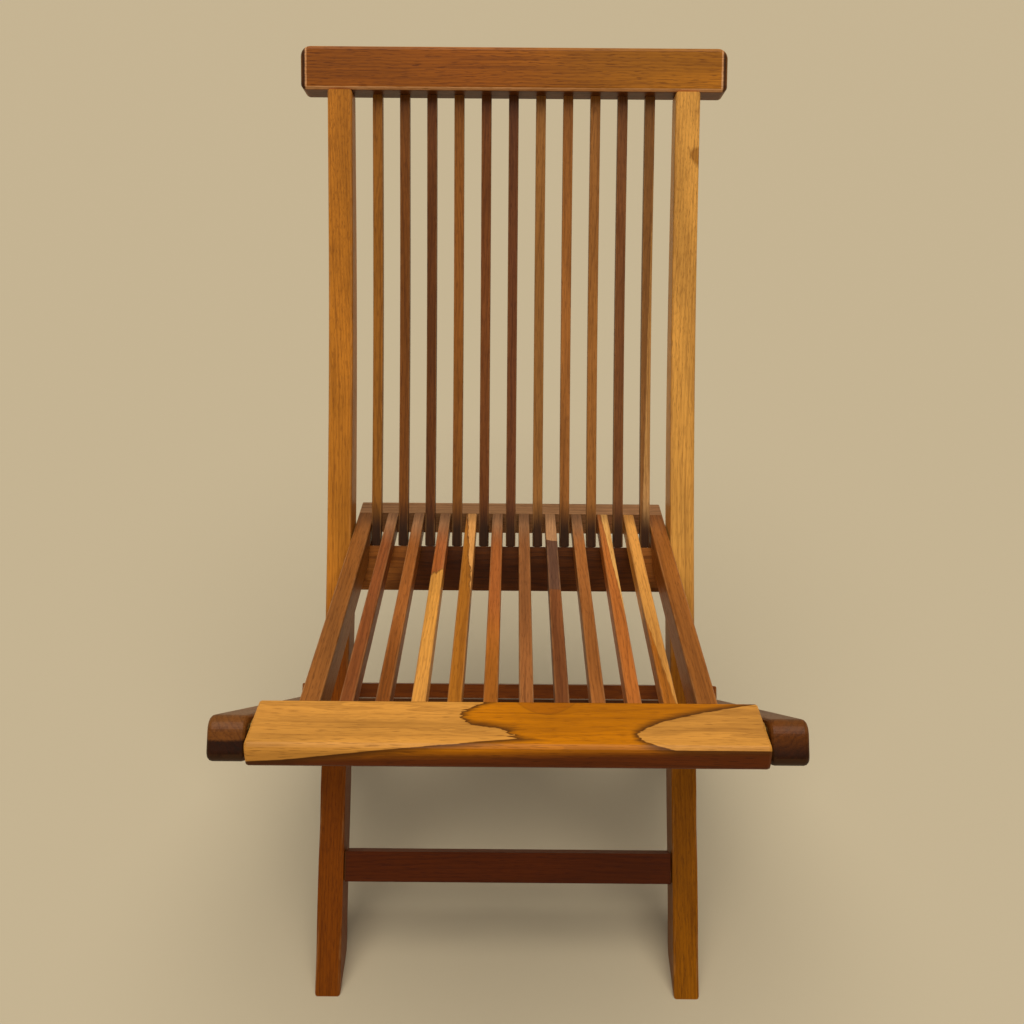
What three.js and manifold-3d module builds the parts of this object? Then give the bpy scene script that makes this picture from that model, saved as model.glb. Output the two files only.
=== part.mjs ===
// Folding slatted chair in teak: curved stiles that are back posts and front legs in one,
// straight rear legs bolted across them, and a slatted seat hung between the leg tops.
// Millimetres, +Z up, the front towards -Y. Left and right are as seen from the front, +X right.
// Every joint is a real one: stub tenons in mortises, bolts in clearance holes, screws in pilots.

import * as THREE from 'three';
import { mergeVertices } from 'three/addons/utils/BufferGeometryUtils.js';
import Module from 'manifold-3d';

// Clearances shared by the whole chair

const fit = {
  touch: 0.3, // between two pieces that touch, and round a tenon in its mortise
  running: 0.3, // round a bolt that turns, on the radius
  cutOverrun: 3, // how far a cutter runs past the face that it opens
  weld: 1e-4, // corners closer than this are one
};

// Driving dimensions, piece by piece

const stile = {
  width: 27,
  depth: 41, // front to back, up to the seat
  topDepth: 29, // front to back, under the top rail
  taperStart: 470, // along the front face, where the depth starts to fall
  outerHalfSpan: 205.5, // centre line of the chair to the outer face
  footLean: THREE.MathUtils.degToRad(40.2), // from the vertical
  topLean: THREE.MathUtils.degToRad(28.5),
  straightLength: 295, // of the lower stretch, along the front face
  bendLength: 560, // of the arc above it
  frontLength: 987.5, // from the floor to the top rail, along the front face
  arris: 2.5,
  tenonWidth: 15,
  tenonDepth: 13,
  tenonLength: 20,
  facetLength: 45, // longest flat of the curved faces
};

const topRail = {
  length: 470,
  height: 46.5,
  thickness: 35.5,
  topCornerRadius: 11,
  bottomCornerRadius: 6,
  arris: 4,
};

const backSlat = {
  count: 11,
  width: 11,
  depth: 12,
  pitch: 30.5,
  setBack: 18, // behind the front face of the stiles
  arris: 1.2,
  tenonWidth: 6,
  tenonDepth: 7,
  tenonLength: 12,
  facetLength: 60,
};

const lowerBackRail = {
  height: 50,
  thickness: 21,
  setBack: 17,
  arris: 1.5,
  tenonWidth: 14, // through the stile's thickness
  tenonHeight: 30,
  tenonDepth: 11,
};

const frontStretcher = {
  height: 32,
  thickness: 18,
  setBack: 4,
  footDistance: 134, // along the stile's front face, floor to the middle of the stretcher
  arris: 1.5,
  tenonWidth: 14,
  tenonHeight: 20,
  tenonDepth: 9,
};

const rearLeg = {
  width: 31.5,
  depth: 37.2,
  gapToStile: 7,
  slope: THREE.MathUtils.degToRad(41.1), // from the floor
  upperReach: 333, // from the crossing bolt to the upper end
  noseTopRadius: 13,
  noseBottomRadius: 9,
  arris: 4,
};

const stopBar = {
  length: 475,
  height: 15.5,
  width: 36,
  arris: 2,
};

const rearStretcher = {
  depth: 32, // along the legs
  height: 18, // square to them
  crossingDistance: 235, // along the legs, crossing bolt to the middle of the stretcher
  arris: 1.5,
  tenonWidth: 16,
  tenonDepth: 20,
  tenonHeight: 9,
};

const seat = {
  slope: THREE.MathUtils.degToRad(8.4), // down towards the back
  innerLength: 375, // front rail to rear rail
  outerHalfSpan: 177.3,
  pivotDistance: 308, // crossing bolt to seat bolt, along the rear legs
  pivotRise: 4, // seat bolt above the middle line of the rear legs
  pivotInset: 23.3, // seat bolt to the inner face of the front rail
  pivotDepth: 14.8, // seat bolt under the top of the seat
};

const frontRail = {
  width: 60,
  thickness: 22.5,
  endPlay: 1.6, // each end to the leg beside it, where the washer sits
  noseWidth: 7, // how far the rounding of the front edge runs back
  noseDrop: 8,
  underRadius: 5,
  arris: 2.5,
};

const rearRail = {
  width: 29,
  thickness: 25,
  arris: 1.5,
};

const sideRail = {
  width: 18,
  depth: 32,
  arris: 1.5,
  notchFront: 8, // play in front of the lower back rail
  notchRear: 8, // play behind it
  tenonWidth: 9,
  tenonHeight: 11,
  tenonLength: 14,
  tenonDrop: 6, // top of the seat to the top of the tenon
};

const seatSlat = {
  count: 10,
  width: 12.5,
  depth: 17.5,
  pitch: 30.5,
  arris: 1.5,
  tenonWidth: 7,
  tenonHeight: 7,
  tenonLength: 11,
  tenonDrop: 4,
};

const bolt = {
  diameter: 8,
  headDiameter: 16,
  headHeight: 5,
  headBevel: 1.5,
  headRecess: 6, // depth of the counterbore in the leg
  socketDiameter: 6,
  socketDepth: 2.6,
  nutWidth: 13, // across the flats
  nutHeight: 6,
  spacerDiameter: 24,
  washerDiameter: 22,
  barrelDiameter: 12,
  barrelLength: 16,
  barrelInset: 27, // from the end of the front rail
  barrelTopCover: 5, // wood left above the barrel nut
  pastBarrel: 9, // how far the bolt runs on beyond the barrel nut's middle
};

const screw = {
  headDiameter: 9,
  headHeight: 3.6,
  shankDiameter: 4.5,
  length: 34,
  spacing: 16, // between the two in one end of the stop bar
  endInset: 16, // from the end of the bar
  pilotDepth: 4, // left open below the point
};

// Materials: satin-varnished teak in several tones, and brass-plated steel

const teak = (colour, roughness = 0.5) => new THREE.MeshStandardMaterial({
  color: colour,
  roughness,
  metalness: 0,
});

const tone = {
  topRail: teak(0x8a4d1c),
  stileLeft: teak(0xa8641f),
  stileRight: teak(0xbf8434),
  leg: teak(0x5f3517),
  frontRail: teak(0xb97a31, 0.45),
  darkRail: teak(0x3a1d0c),
  greyRail: teak(0x7a6146),
  sideRailLeft: teak(0x7d4c22),
  sideRailRight: teak(0x8a4a26),
  brass: new THREE.MeshStandardMaterial({ color: 0xb08a4a, roughness: 0.35, metalness: 1 }),
};

const backSlatTones = [
  0x7a5420, 0x6a3418, 0x33201a, 0x6e4a1e, 0x55300f, 0x4a2813,
  0x8a5a22, 0x6a3c18, 0x8a6126, 0x47291a, 0x9a6a2c,
].map((colour) => teak(colour));

const seatSlatTones = [
  0x80492a, 0x8a5a34, 0xc08038, 0xb57c3a, 0x86563a,
  0x9a5c34, 0x7c5844, 0x8a4f33, 0xa8662c, 0xc4903e,
].map((colour) => teak(colour));

// Solid modelling helpers

const wasm = await Module();
wasm.setup();

function toSolid(geometry) {
  const bare = new THREE.BufferGeometry();
  bare.setAttribute('position', geometry.getAttribute('position').clone());
  if (geometry.index) bare.setIndex(geometry.index.clone());
  const merged = mergeVertices(bare, fit.weld);
  return new wasm.Manifold(new wasm.Mesh({
    numProp: 3,
    vertProperties: new Float32Array(merged.getAttribute('position').array),
    triVerts: new Uint32Array(merged.index.array),
  }));
}

function toGeometry(solid) {
  const { vertProperties, triVerts } = solid.getMesh();
  const geometry = new THREE.BufferGeometry();
  geometry.setAttribute('position', new THREE.BufferAttribute(vertProperties, 3));
  geometry.setIndex(new THREE.BufferAttribute(triVerts, 1));
  return geometry;
}

// One body out of a blank, with other bodies joined to it and cut from it.
function shape(blank, { join = [], cut = [] } = {}) {
  let solid = toSolid(blank);
  for (const piece of join) solid = solid.add(toSolid(piece));
  for (const piece of cut) solid = solid.subtract(toSolid(piece));
  return toGeometry(solid);
}

// A side outline, drawn with x to the rear and y up, given a width across the chair.
function acrossChair(outline, width, arris, arrisSteps = 1) {
  const geometry = new THREE.ExtrudeGeometry(outline, {
    depth: width - 2 * arris,
    bevelEnabled: arris > 0,
    bevelSize: arris,
    bevelThickness: arris,
    bevelOffset: -arris,
    bevelSegments: arrisSteps,
    curveSegments: 5,
  });
  geometry.translate(0, 0, arris - width / 2);
  const toChair = new THREE.Matrix4().makeBasis(
    new THREE.Vector3(0, 1, 0),
    new THREE.Vector3(0, 0, 1),
    new THREE.Vector3(1, 0, 0),
  );
  return geometry.applyMatrix4(toChair);
}

function rectangle(rear0, up0, rear1, up1) {
  return new THREE.Shape([
    new THREE.Vector2(rear0, up0),
    new THREE.Vector2(rear1, up0),
    new THREE.Vector2(rear1, up1),
    new THREE.Vector2(rear0, up1),
  ]);
}

// A plain block from its middle and its size, for tenons and for cutters.
function block(x, y, z, width, depth, height, grow = 0) {
  const geometry = new THREE.BoxGeometry(width + 2 * grow, depth + 2 * grow, height + 2 * grow);
  return geometry.translate(x, y, z);
}

// A turned piece on an axis across the chair. The profile lists radius and place along X.
function turned(profile, segments = 24) {
  const points = profile.map(([radius, place]) => new THREE.Vector2(radius, place));
  return new THREE.LatheGeometry(points, segments).rotateZ(-Math.PI / 2);
}

function drill(diameter, from, to, segments = 24) {
  const low = Math.min(from, to);
  const high = Math.max(from, to);
  return turned([[0, low], [diameter / 2, low], [diameter / 2, high], [0, high]], segments);
}

// A frame is a place in the side view with its own rear and up directions.

const frameAt = (y, z, angle) => ({ y, z, angle });

function frameMatrix({ y, z, angle }) {
  const matrix = new THREE.Matrix4().makeRotationX(angle);
  return matrix.setPosition(0, y, z);
}

// The same geometry, described in one frame and wanted in another.
function carry(geometry, from, to) {
  const matrix = frameMatrix(to).invert().multiply(frameMatrix(from));
  return geometry.clone().applyMatrix4(matrix);
}

function pointIn(frame, rear, up) {
  const point = new THREE.Vector3(0, rear, up).applyMatrix4(frameMatrix(frame));
  return { y: point.y, z: point.z };
}

const sides = [
  { name: 'left', sign: -1 },
  { name: 'right', sign: 1 },
];

const chairFrame = frameAt(0, 0, 0);

// Layout: the stiles' front face as a straight, an arc and a straight, by length along it

function leanAt(length) {
  const share = THREE.MathUtils.clamp((length - stile.straightLength) / stile.bendLength, 0, 1);
  return THREE.MathUtils.lerp(stile.footLean, stile.topLean, share);
}

function facePoint(length) {
  const straight = Math.min(length, stile.straightLength);
  let y = straight * Math.sin(stile.footLean);
  let z = straight * Math.cos(stile.footLean);
  const bent = THREE.MathUtils.clamp(length - stile.straightLength, 0, stile.bendLength);
  if (bent > 0) {
    const turn = (stile.topLean - stile.footLean) / stile.bendLength;
    y += (Math.cos(stile.footLean) - Math.cos(stile.footLean + turn * bent)) / turn;
    z += (Math.sin(stile.footLean + turn * bent) - Math.sin(stile.footLean)) / turn;
  }
  const upper = Math.max(length - stile.straightLength - stile.bendLength, 0);
  y += upper * Math.sin(stile.topLean);
  z += upper * Math.cos(stile.topLean);
  return { y, z };
}

// The frame whose origin is on the front face, looking rearwards and up along the stile.
function stileFrame(length) {
  const { y, z } = facePoint(length);
  return frameAt(y, z, -leanAt(length));
}

const behindFace = (length, setBack) => pointIn(stileFrame(length), setBack, 0);

function depthAt(length) {
  const run = stile.frontLength - stile.taperStart;
  const share = THREE.MathUtils.clamp((length - stile.taperStart) / run, 0, 1);
  return THREE.MathUtils.lerp(stile.depth, stile.topDepth, share);
}

// Places along the front face between two lengths, closer together where it bends.
function lengthsBetween(from, to, longest) {
  const count = Math.max(Math.ceil((to - from) / longest), 1);
  return Array.from({ length: count + 1 }, (_, index) => from + (to - from) * index / count);
}

// The crossing: on the stile's middle line, at the end of its straight stretch

const crossing = behindFace(stile.straightLength, stile.depth / 2);
const legFrame = frameAt(crossing.y, crossing.z, -rearLeg.slope);
const pivot = pointIn(legFrame, -seat.pivotDistance, seat.pivotRise);
const pivotFrame = frameAt(pivot.y, pivot.z, -seat.slope);
const seatOrigin = pointIn(pivotFrame, seat.pivotInset, seat.pivotDepth);
const seatFrame = frameAt(seatOrigin.y, seatOrigin.z, -seat.slope);

const legMiddle = stile.outerHalfSpan + rearLeg.gapToStile + rearLeg.width / 2;
const legInner = legMiddle - rearLeg.width / 2;
const legOuter = legMiddle + rearLeg.width / 2;
const stileMiddle = stile.outerHalfSpan - stile.width / 2;
const stileInner = stile.outerHalfSpan - stile.width;

// The seat slats rest on the front arris of the lower back rail, which sets its height.
function lowerRailTopLength() {
  const restLine = -seatSlat.depth - fit.touch;
  const toSeat = frameMatrix(seatFrame).invert();
  const heightOverRest = (length) => {
    const { y, z } = behindFace(length, lowerBackRail.setBack);
    return new THREE.Vector3(0, y, z).applyMatrix4(toSeat).z - restLine;
  };
  let low = 0;
  let high = stile.frontLength;
  for (let halving = 0; halving < 50; halving += 1) {
    const middle = (low + high) / 2;
    if (heightOverRest(middle) < 0) low = middle;
    else high = middle;
  }
  return low;
}

const lowerRailTop = lowerRailTopLength();
const lowerRailFrame = stileFrame(lowerRailTop);
const stretcherFrame = stileFrame(frontStretcher.footDistance);
const topFrame = stileFrame(stile.frontLength);

const meshes = { backFrame: [], rearLegs: [], seat: [] };

function add(body, name, geometry, material, frame = chairFrame, x = 0) {
  const flat = geometry.index ? geometry.toNonIndexed() : geometry;
  flat.computeVertexNormals();
  const mesh = new THREE.Mesh(flat, material);
  mesh.name = name;
  mesh.position.set(x, frame.y, frame.z);
  mesh.rotation.x = frame.angle;
  meshes[body].push(mesh);
}

// Back frame

// A strip that follows the front face between two set-backs, given as functions of length.
function stripOutline(lengths, frontSetBack, rearSetBack) {
  const front = lengths.map((length) => behindFace(length, frontSetBack(length)));
  const rear = lengths.map((length) => behindFace(length, rearSetBack(length)));
  const points = [...front.reverse(), ...rear];
  return new THREE.Shape(points.map(({ y, z }) => new THREE.Vector2(y, z)));
}

function stileBlank() {
  const lengths = lengthsBetween(0, stile.frontLength - fit.touch, stile.facetLength);
  const outline = stripOutline(lengths, () => 0, depthAt);
  const points = outline.getPoints();
  // The foot is sawn level with the floor, so its rear corner slides out to the ground.
  const rearFoot = stile.depth / Math.cos(stile.footLean);
  const heel = points.findIndex(({ x, y }) => y < 0 && x > 0);
  points[heel].set(rearFoot, 0);
  return acrossChair(new THREE.Shape(points), stile.width, stile.arris, 2);
}

const stileTenonSetBack = stile.topDepth / 2;

function stileTenon(grow) {
  const length = stile.tenonLength + fit.cutOverrun;
  const middle = stile.tenonLength - length / 2;
  return block(0, stileTenonSetBack, middle, stile.tenonWidth, stile.tenonDepth, length, grow);
}

// Tenons of a rail that runs across the chair, on both ends, in the rail's own frame.
function endTenons(rail, halfLength, rear, up, grow) {
  return sides.map(({ sign }) => {
    const length = rail.tenonWidth + fit.cutOverrun;
    const middle = sign * (halfLength + rail.tenonWidth - length / 2);
    return block(middle, rear, up, length, rail.tenonDepth, rail.tenonHeight, grow);
  });
}

const lowerRailRear = lowerBackRail.setBack + lowerBackRail.thickness / 2;
const lowerRailTenons = (grow) => (
  endTenons(lowerBackRail, stileInner, lowerRailRear, -lowerBackRail.height / 2, grow)
);
const stretcherRear = frontStretcher.setBack + frontStretcher.thickness / 2;
const stretcherTenons = (grow) => (
  endTenons(frontStretcher, stileInner, stretcherRear, 0, grow)
);

function crossingHole(from, to) {
  return drill(bolt.diameter + 2 * fit.running, from, to).translate(0, crossing.y, crossing.z);
}

function hexagon(width, from, to, grow = 0) {
  const radius = (width / 2 + grow) / Math.cos(Math.PI / 6);
  const low = Math.min(from, to);
  const high = Math.max(from, to);
  return turned([[0, low], [radius, low], [radius, high], [0, high]], 6);
}

function makeStiles() {
  for (const { name, sign } of sides) {
    const middle = sign * stileMiddle;
    const toStile = (geometry) => geometry.translate(-middle, 0, 0);
    const nutFrom = sign * (stileInner - fit.cutOverrun);
    const nutTo = sign * (stileInner + bolt.nutHeight + fit.touch);
    const nutRecess = hexagon(bolt.nutWidth, nutFrom, nutTo, fit.touch);
    const cut = [
      ...lowerRailTenons(fit.touch).map((piece) => carry(piece, lowerRailFrame, chairFrame)),
      ...stretcherTenons(fit.touch).map((piece) => carry(piece, stretcherFrame, chairFrame)),
      crossingHole(nutFrom, sign * (stile.outerHalfSpan + fit.cutOverrun)),
      nutRecess.translate(0, crossing.y, crossing.z),
    ].map(toStile);
    const join = [carry(stileTenon(0), topFrame, chairFrame)];
    const material = sign < 0 ? tone.stileLeft : tone.stileRight;
    const geometry = shape(stileBlank(), { join, cut });
    add('backFrame', `stile_${name}`, geometry, material, chairFrame, middle);
  }
}

// Slats are set out from the middle, so an odd number has one on the centre line.
const slatPlaces = ({ count, pitch }) => (
  Array.from({ length: count }, (_, index) => (index - (count - 1) / 2) * pitch)
);

const slatMiddleSetBack = backSlat.setBack + backSlat.depth / 2;

// The tenons are straight continuations of the slat at its two ends.
function backSlatTenon(frame, upwards, grow) {
  const length = backSlat.tenonLength + fit.cutOverrun;
  const middle = upwards * (backSlat.tenonLength - length / 2);
  const { tenonWidth, tenonDepth } = backSlat;
  return block(0, slatMiddleSetBack, middle, tenonWidth, tenonDepth, length, grow);
}

function makeBackSlats() {
  const foot = lowerRailTop + fit.touch;
  const lengths = lengthsBetween(foot, stile.frontLength - fit.touch, backSlat.facetLength);
  const rearSetBack = backSlat.setBack + backSlat.depth;
  const outline = stripOutline(lengths, () => backSlat.setBack, () => rearSetBack);
  const blank = acrossChair(outline, backSlat.width, backSlat.arris, 2);
  const join = [
    carry(backSlatTenon(topFrame, 1, 0), topFrame, chairFrame),
    carry(backSlatTenon(lowerRailFrame, -1, 0), lowerRailFrame, chairFrame),
  ];
  const geometry = shape(blank, { join });
  slatPlaces(backSlat).forEach((x, index) => {
    const name = `back_slat_${String(index + 1).padStart(2, '0')}`;
    const material = backSlatTones[index % backSlatTones.length];
    add('backFrame', name, geometry, material, chairFrame, x);
  });
}

function makeTopRail() {
  const half = topRail.length / 2;
  const { height, topCornerRadius: top, bottomCornerRadius: bottom } = topRail;
  const face = new THREE.Shape();
  face.moveTo(-half + bottom, 0);
  face.lineTo(half - bottom, 0);
  face.absarc(half - bottom, bottom, bottom, -Math.PI / 2, 0);
  face.lineTo(half, height - top);
  face.absarc(half - top, height - top, top, 0, Math.PI / 2);
  face.lineTo(-half + top, height);
  face.absarc(-half + top, height - top, top, Math.PI / 2, Math.PI);
  face.lineTo(-half, bottom);
  face.absarc(-half + bottom, bottom, bottom, Math.PI, Math.PI * 1.5);
  const blank = new THREE.ExtrudeGeometry(face, {
    depth: topRail.thickness - 2 * topRail.arris,
    bevelSize: topRail.arris,
    bevelThickness: topRail.arris,
    bevelOffset: -topRail.arris,
    bevelSegments: 3,
    curveSegments: 5,
  });
  // Drawn facing the viewer, then stood on the frame with its thickness to the rear.
  blank.translate(0, 0, topRail.arris - topRail.thickness);
  blank.rotateX(Math.PI / 2);
  const cut = slatPlaces(backSlat).map((x) => (
    backSlatTenon(topFrame, 1, fit.touch).translate(x, 0, 0)
  ));
  for (const { sign } of sides) cut.push(stileTenon(fit.touch).translate(sign * stileMiddle, 0, 0));
  add('backFrame', 'top_rail', shape(blank, { cut }), tone.topRail, topFrame);
}

function makeLowerBackRail() {
  const { setBack, thickness, height, arris } = lowerBackRail;
  const outline = rectangle(setBack, -height, setBack + thickness, 0);
  const width = 2 * (stileInner - fit.touch);
  const join = lowerRailTenons(0);
  const cut = slatPlaces(backSlat).map((x) => (
    backSlatTenon(lowerRailFrame, -1, fit.touch).translate(x, 0, 0)
  ));
  const geometry = shape(acrossChair(outline, width, arris), { join, cut });
  add('backFrame', 'lower_back_rail', geometry, tone.darkRail, lowerRailFrame);
}

function makeFrontStretcher() {
  const { setBack, thickness, height, arris } = frontStretcher;
  const outline = rectangle(setBack, -height / 2, setBack + thickness, height / 2);
  const width = 2 * (stileInner - fit.touch);
  const geometry = shape(acrossChair(outline, width, arris), { join: stretcherTenons(0) });
  add('backFrame', 'front_stretcher', geometry, tone.darkRail, stretcherFrame);
}

// Rear legs, in a frame that starts at the crossing bolt and runs down the legs

const legHalf = rearLeg.depth / 2;
const screwPlaces = [-screw.spacing / 2, screw.spacing / 2];

// The stop bar lies on the legs with its front face against the back of the stiles.
const stopLean = rearLeg.slope - stile.footLean;
const stopBarBottom = legHalf + fit.touch;
const stopBarFront = (
  (stile.depth / 2 + fit.touch) / Math.cos(stopLean) - stopBarBottom * Math.tan(stopLean)
);
const stopBarMiddle = stopBarFront + stopBar.width / 2;
const screwSpan = stopBar.length / 2 - screw.endInset;
const screwTop = stopBarBottom + stopBar.height;

// Where a line along the leg, a height above its middle line, meets the floor.
const floorReach = (up) => (crossing.z + up * Math.cos(rearLeg.slope)) / Math.sin(rearLeg.slope);

function legOutline() {
  const { upperReach, noseTopRadius: top, noseBottomRadius: bottom } = rearLeg;
  const outline = new THREE.Shape();
  outline.moveTo(-upperReach + bottom, -legHalf);
  outline.lineTo(floorReach(-legHalf), -legHalf);
  outline.lineTo(floorReach(legHalf), legHalf);
  outline.lineTo(-upperReach + top, legHalf);
  outline.absarc(-upperReach + top, legHalf - top, top, Math.PI / 2, Math.PI);
  outline.lineTo(-upperReach, -legHalf + bottom);
  outline.absarc(-upperReach + bottom, -legHalf + bottom, bottom, Math.PI, Math.PI * 1.5);
  return outline;
}

const rearStretcherTenons = (grow) => (
  endTenons(rearStretcher, legInner, rearStretcher.crossingDistance, 0, grow)
);

// Clearance hole and counterbore for a bolt that goes in from the outer face of the leg.
function legBoltHole(sign, rear, up) {
  const outer = sign * (legOuter + fit.cutOverrun);
  const hole = drill(bolt.diameter + 2 * fit.running, sign * (legInner - fit.cutOverrun), outer);
  const seatDepth = sign * (legOuter - bolt.headRecess);
  const counterbore = drill(bolt.headDiameter + 2 * fit.touch, seatDepth, outer);
  return [hole.translate(0, rear, up), counterbore.translate(0, rear, up)];
}

// A countersunk screw, head up, or the hole that it sits in when grown.
function screwBody(grow = 0, below = 0) {
  const head = screw.headDiameter / 2 + grow;
  const shank = screw.shankDiameter / 2 + grow;
  const tip = -screw.length - below;
  const profile = [[0, tip], [shank, tip], [shank, -screw.headHeight], [head, 0]];
  if (grow > 0) profile.push([head, fit.cutOverrun]);
  profile.push([0, grow > 0 ? fit.cutOverrun : 0]);
  const points = profile.map(([radius, place]) => new THREE.Vector2(radius, place));
  return new THREE.LatheGeometry(points, 12).rotateX(Math.PI / 2);
}

function screwHoles(sign) {
  return screwPlaces.map((offset) => (
    screwBody(fit.touch, screw.pilotDepth)
      .translate(sign * screwSpan, stopBarMiddle + offset, screwTop - fit.touch)
  ));
}

function makeRearLegs() {
  for (const { name, sign } of sides) {
    const middle = sign * legMiddle;
    const cut = [
      ...rearStretcherTenons(fit.touch),
      ...legBoltHole(sign, 0, 0),
      ...legBoltHole(sign, -seat.pivotDistance, seat.pivotRise),
      ...screwHoles(sign),
    ].map((piece) => piece.translate(-middle, 0, 0));
    const blank = acrossChair(legOutline(), rearLeg.width, rearLeg.arris, 3);
    add('rearLegs', `rear_leg_${name}`, shape(blank, { cut }), tone.leg, legFrame, middle);
  }
}

function makeStopBar() {
  const { width, height, length, arris } = stopBar;
  const bottom = stopBarBottom;
  const outline = rectangle(stopBarFront, bottom, stopBarFront + width, bottom + height);
  const cut = [...screwHoles(-1), ...screwHoles(1)];
  const geometry = shape(acrossChair(outline, length, arris, 2), { cut });
  add('rearLegs', 'stop_bar', geometry, tone.darkRail, legFrame);
}

function makeStopBarScrews() {
  const geometry = shape(screwBody());
  for (const { name, sign } of sides) {
    screwPlaces.forEach((offset, index) => {
      const place = pointIn(legFrame, stopBarMiddle + offset, screwTop - fit.touch);
      const frame = frameAt(place.y, place.z, -rearLeg.slope);
      const screwName = `stop_bar_screw_${name}_${index + 1}`;
      add('rearLegs', screwName, geometry, tone.brass, frame, sign * screwSpan);
    });
  }
}

function makeRearStretcher() {
  const { depth, height, arris, crossingDistance } = rearStretcher;
  const upper = crossingDistance - depth / 2;
  const outline = rectangle(upper, -height / 2, upper + depth, height / 2);
  const width = 2 * (legInner - fit.touch);
  const geometry = shape(acrossChair(outline, width, arris), { join: rearStretcherTenons(0) });
  add('rearLegs', 'rear_stretcher', geometry, tone.darkRail, legFrame);
}

// Seat, in a frame that starts at the top rear arris of the front rail and runs to the rear

const frontRailHalf = legInner - frontRail.endPlay;
const sideRailMiddle = seat.outerHalfSpan - sideRail.width / 2;

// Tenons on both ends of a bar that runs from the front rail to the rear rail.
function barTenons(bar, x, grow) {
  const length = bar.tenonLength + fit.cutOverrun;
  const up = -bar.tenonDrop - bar.tenonHeight / 2;
  const front = -bar.tenonLength + length / 2;
  const rear = seat.innerLength + bar.tenonLength - length / 2;
  return [front, rear].map((place) => (
    block(x, place, up, bar.tenonWidth, length, bar.tenonHeight, grow)
  ));
}

const seatBars = [
  ...slatPlaces(seatSlat).map((x) => ({ bar: seatSlat, x })),
  ...sides.map(({ sign }) => ({ bar: sideRail, x: sign * sideRailMiddle })),
];
const barMortises = () => seatBars.flatMap(({ bar, x }) => barTenons(bar, x, fit.touch));

function frontRailOutline() {
  const { width, thickness, noseWidth, noseDrop, underRadius } = frontRail;
  const outline = new THREE.Shape();
  outline.moveTo(0, -thickness);
  outline.lineTo(0, 0);
  outline.lineTo(-width + noseWidth, 0);
  outline.quadraticCurveTo(-width, 0, -width, -noseDrop);
  outline.lineTo(-width, -thickness + underRadius);
  outline.quadraticCurveTo(-width, -thickness, -width + underRadius, -thickness);
  return outline;
}

function makeFrontRail() {
  const blank = acrossChair(frontRailOutline(), 2 * frontRailHalf, frontRail.arris, 2);
  const cut = barMortises();
  for (const { sign } of sides) {
    const barrelX = sign * (frontRailHalf - bolt.barrelInset);
    const boltEnd = barrelX - sign * bolt.pastBarrel;
    const hole = drill(bolt.diameter + 2 * fit.touch, boltEnd - sign * fit.touch,
      sign * (frontRailHalf + fit.cutOverrun));
    cut.push(hole.translate(0, -seat.pivotInset, -seat.pivotDepth));
    cut.push(barrelHole().translate(barrelX, -seat.pivotInset, 0));
  }
  add('seat', 'seat_front_rail', shape(blank, { cut }), tone.frontRail, seatFrame);
}

// The barrel nut goes in from the underside of the rail.
function barrelHole() {
  const radius = bolt.barrelDiameter / 2 + fit.touch;
  const top = -bolt.barrelTopCover;
  const bottom = -frontRail.thickness - fit.cutOverrun;
  const hole = new THREE.CylinderGeometry(radius, radius, top - bottom, 24).rotateX(Math.PI / 2);
  return hole.translate(0, 0, (top + bottom) / 2);
}

function makeBarrelNuts() {
  const radius = bolt.barrelDiameter / 2;
  for (const { name, sign } of sides) {
    const x = sign * (frontRailHalf - bolt.barrelInset);
    const blank = new THREE.CylinderGeometry(radius, radius, bolt.barrelLength, 24)
      .rotateX(Math.PI / 2)
      .translate(0, 0, -bolt.barrelTopCover - fit.touch - bolt.barrelLength / 2);
    const bore = drill(bolt.diameter + 2 * fit.touch, -bolt.barrelDiameter, bolt.barrelDiameter)
      .translate(0, 0, -seat.pivotDepth);
    const frame = pointIn(seatFrame, -seat.pivotInset, 0);
    add('seat', `seat_barrel_nut_${name}`, shape(blank, { cut: [bore] }), tone.brass,
      frameAt(frame.y, frame.z, -seat.slope), x);
  }
}

function makeRearRail() {
  const { width, thickness, arris } = rearRail;
  const outline = rectangle(seat.innerLength, -thickness, seat.innerLength + width, 0);
  const blank = acrossChair(outline, 2 * seat.outerHalfSpan, arris, 2);
  const geometry = shape(blank, { cut: barMortises() });
  add('seat', 'seat_rear_rail', geometry, tone.greyRail, seatFrame);
}

// The side rails are notched over the lower back rail, which carries them and the slats.
function railNotch() {
  const corners = [
    [lowerBackRail.setBack, 0],
    [lowerBackRail.setBack + lowerBackRail.thickness, 0],
    [lowerBackRail.setBack, -lowerBackRail.height],
  ].map(([rear, up]) => {
    const { y, z } = pointIn(lowerRailFrame, rear, up);
    return new THREE.Vector3(0, y, z).applyMatrix4(frameMatrix(seatFrame).invert());
  });
  const [topFront, topRear, bottomFront] = corners;
  const slope = (topFront.y - bottomFront.y) / (topFront.z - bottomFront.z);
  const under = -sideRail.depth - fit.cutOverrun;
  const roof = -seatSlat.depth;
  const rearTop = topRear.y + sideRail.notchRear;
  const frontTop = topFront.y - sideRail.notchFront;
  const frontBottom = frontTop + (under - roof) * slope;
  return acrossChair(new THREE.Shape([
    new THREE.Vector2(frontTop, roof),
    new THREE.Vector2(frontBottom, under),
    new THREE.Vector2(rearTop, under),
    new THREE.Vector2(rearTop, roof),
  ]), sideRail.width + 2 * fit.cutOverrun, 0);
}

function makeSideRails() {
  const { width, depth, arris } = sideRail;
  const outline = rectangle(fit.touch, -depth, seat.innerLength - fit.touch, 0);
  const blank = acrossChair(outline, width, arris, 2);
  const geometry = shape(blank, { join: barTenons(sideRail, 0, 0), cut: [railNotch()] });
  for (const { name, sign } of sides) {
    const material = sign < 0 ? tone.sideRailLeft : tone.sideRailRight;
    add('seat', `seat_side_rail_${name}`, geometry, material, seatFrame, sign * sideRailMiddle);
  }
}

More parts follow.
